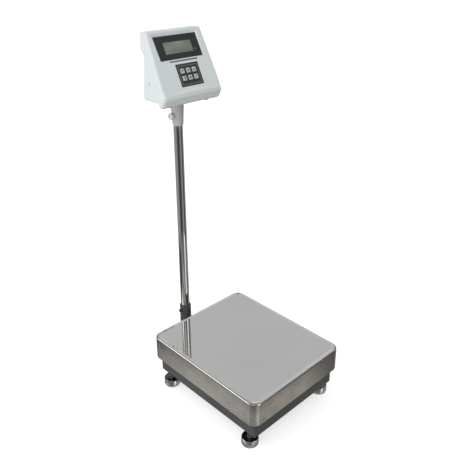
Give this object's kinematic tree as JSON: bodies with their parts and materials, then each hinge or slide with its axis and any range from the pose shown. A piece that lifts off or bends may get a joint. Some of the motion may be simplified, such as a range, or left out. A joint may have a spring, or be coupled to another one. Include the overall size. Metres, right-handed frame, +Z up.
{
  "type": "platform shipping scale",
  "caption": "Floor scale with a rectangular steel platter on a low tube frame with levelling feet, and a keypad indicator that swivels on a rear column.",
  "frame": {"origin": "centre of the whole object's footprint, on the floor", "axes": "+X to the operator's right, +Y to the back where the column stands, +Z up"},
  "size_m": [0.42, 0.61, 1.2185],
  "materials": {
    "stainless": "brushed, lightly polished",
    "frame_paint": "satin dark grey-green powder coat",
    "chrome": "polished",
    "zinc": "zinc plate",
    "foot_steel": "satin",
    "rubber": "matt",
    "cell_aluminium": "anodised",
    "housing_plastic": "fine satin, cool light grey",
    "sleeve_plastic": "satin warm grey",
    "knob_plastic": "satin",
    "window_tint": "gloss",
    "lcd_glass": "satin polariser",
    "led_lens": "clear lens",
    "panel_film": "satin printed film",
    "key_plastic": "satin",
    "circuit_board": "solder mask",
    "battery_case": "moulded",
    "cable_jacket": "satin jacket"
  },
  "bodies": {
    "root": {"base_beam_left": "frame_paint", "base_beam_right": "frame_paint", "base_beam_front": "frame_paint", "base_beam_rear": "frame_paint", "base_cross_channel": "frame_paint", "rear_arm": "frame_paint", "column_socket": "frame_paint", "socket_clamp_bolt": "zinc", "cell_spacer_lower": "zinc", "cell_bolts_lower": "zinc", "load_cell": "cell_aluminium", "cell_spacer_upper": "zinc", "cell_bolts_upper": "zinc", "upper_cross_channel": "frame_paint", "upper_rail_left": "frame_paint", "upper_rail_right": "frame_paint", "platter_buffer_front_left": "rubber", "platter_buffer_front_right": "rubber", "platter_buffer_rear_left": "rubber", "platter_buffer_rear_right": "rubber", "overload_stop_front_left": "zinc", "overload_stop_front_right": "zinc", "overload_stop_rear_left": "zinc", "overload_stop_rear_right": "zinc", "column_tube": "chrome", "load_cell_cable": "cable_jacket"},
    "platter": {"platter": "stainless"},
    "indicator": {"column_sleeve": "sleeve_plastic", "indicator_front_shell": "housing_plastic", "indicator_rear_shell": "housing_plastic", "display_window": "window_tint", "lcd_module": "lcd_glass", "status_led": "led_lens", "keypad_panel": "panel_film", "circuit_board": "circuit_board", "battery": "battery_case", "charging_socket": "rubber", "indicator_foot_left": "rubber", "indicator_foot_right": "rubber", "housing_screw_left": "zinc", "housing_screw_right": "zinc"},
    "clamp_knob": {"clamp_knob": "knob_plastic"},
    "key_1_1": {"key_1_1": "key_plastic"},
    "key_1_2": {"key_1_2": "key_plastic"},
    "key_1_3": {"key_1_3": "key_plastic"},
    "key_2_1": {"key_2_1": "key_plastic"},
    "key_2_2": {"key_2_2": "key_plastic"},
    "key_2_3": {"key_2_3": "key_plastic"},
    "foot_front_left": {"foot_cup_front_left": "foot_steel", "foot_pad_front_left": "rubber", "foot_stud_front_left": "zinc"},
    "foot_front_right": {"foot_cup_front_right": "foot_steel", "foot_pad_front_right": "rubber", "foot_stud_front_right": "zinc"},
    "foot_rear_left": {"foot_cup_rear_left": "foot_steel", "foot_pad_rear_left": "rubber", "foot_stud_rear_left": "zinc"},
    "foot_rear_right": {"foot_cup_rear_right": "foot_steel", "foot_pad_rear_right": "rubber", "foot_stud_rear_right": "zinc"}
  },
  "joints": [
    {"name": "platter_lift", "type": "slide", "parent": "root", "child": "platter", "axis": [0, 0, 1], "range_m": [0, 0.09]},
    {"name": "indicator_swivel", "type": "hinge", "parent": "root", "child": "indicator", "pos_m": [0, 0.2683, 1], "axis": [0, 0, 1], "range_deg": [-170, 170]},
    {"name": "knob_turn", "type": "hinge", "parent": "indicator", "child": "clamp_knob", "pos_m": [-0.03, 0.2683, 0.942], "axis": [-1, 0, 0], "range_deg": [0, 720]},
    {"name": "key_1_1_press", "type": "slide", "parent": "indicator", "child": "key_1_1", "axis": [0, 0.8942, -0.4478], "range_m": [0, 0.0006], "stiffness_N_per_m": 2500, "springref_m": -0.0003},
    {"name": "key_1_2_press", "type": "slide", "parent": "indicator", "child": "key_1_2", "axis": [0, 0.8942, -0.4478], "range_m": [0, 0.0006], "stiffness_N_per_m": 2500, "springref_m": -0.0003},
    {"name": "key_1_3_press", "type": "slide", "parent": "indicator", "child": "key_1_3", "axis": [0, 0.8942, -0.4478], "range_m": [0, 0.0006], "stiffness_N_per_m": 2500, "springref_m": -0.0003},
    {"name": "key_2_1_press", "type": "slide", "parent": "indicator", "child": "key_2_1", "axis": [0, 0.8942, -0.4478], "range_m": [0, 0.0006], "stiffness_N_per_m": 2500, "springref_m": -0.0003},
    {"name": "key_2_2_press", "type": "slide", "parent": "indicator", "child": "key_2_2", "axis": [0, 0.8942, -0.4478], "range_m": [0, 0.0006], "stiffness_N_per_m": 2500, "springref_m": -0.0003},
    {"name": "key_2_3_press", "type": "slide", "parent": "indicator", "child": "key_2_3", "axis": [0, 0.8942, -0.4478], "range_m": [0, 0.0006], "stiffness_N_per_m": 2500, "springref_m": -0.0003},
    {"name": "foot_front_left_level", "type": "slide", "parent": "root", "child": "foot_front_left", "axis": [0, 0, -1], "range_m": [0, 0.012]},
    {"name": "foot_front_right_level", "type": "slide", "parent": "root", "child": "foot_front_right", "axis": [0, 0, -1], "range_m": [0, 0.012]},
    {"name": "foot_rear_left_level", "type": "slide", "parent": "root", "child": "foot_rear_left", "axis": [0, 0, -1], "range_m": [0, 0.012]},
    {"name": "foot_rear_right_level", "type": "slide", "parent": "root", "child": "foot_rear_right", "axis": [0, 0, -1], "range_m": [0, 0.012]}
  ]
}
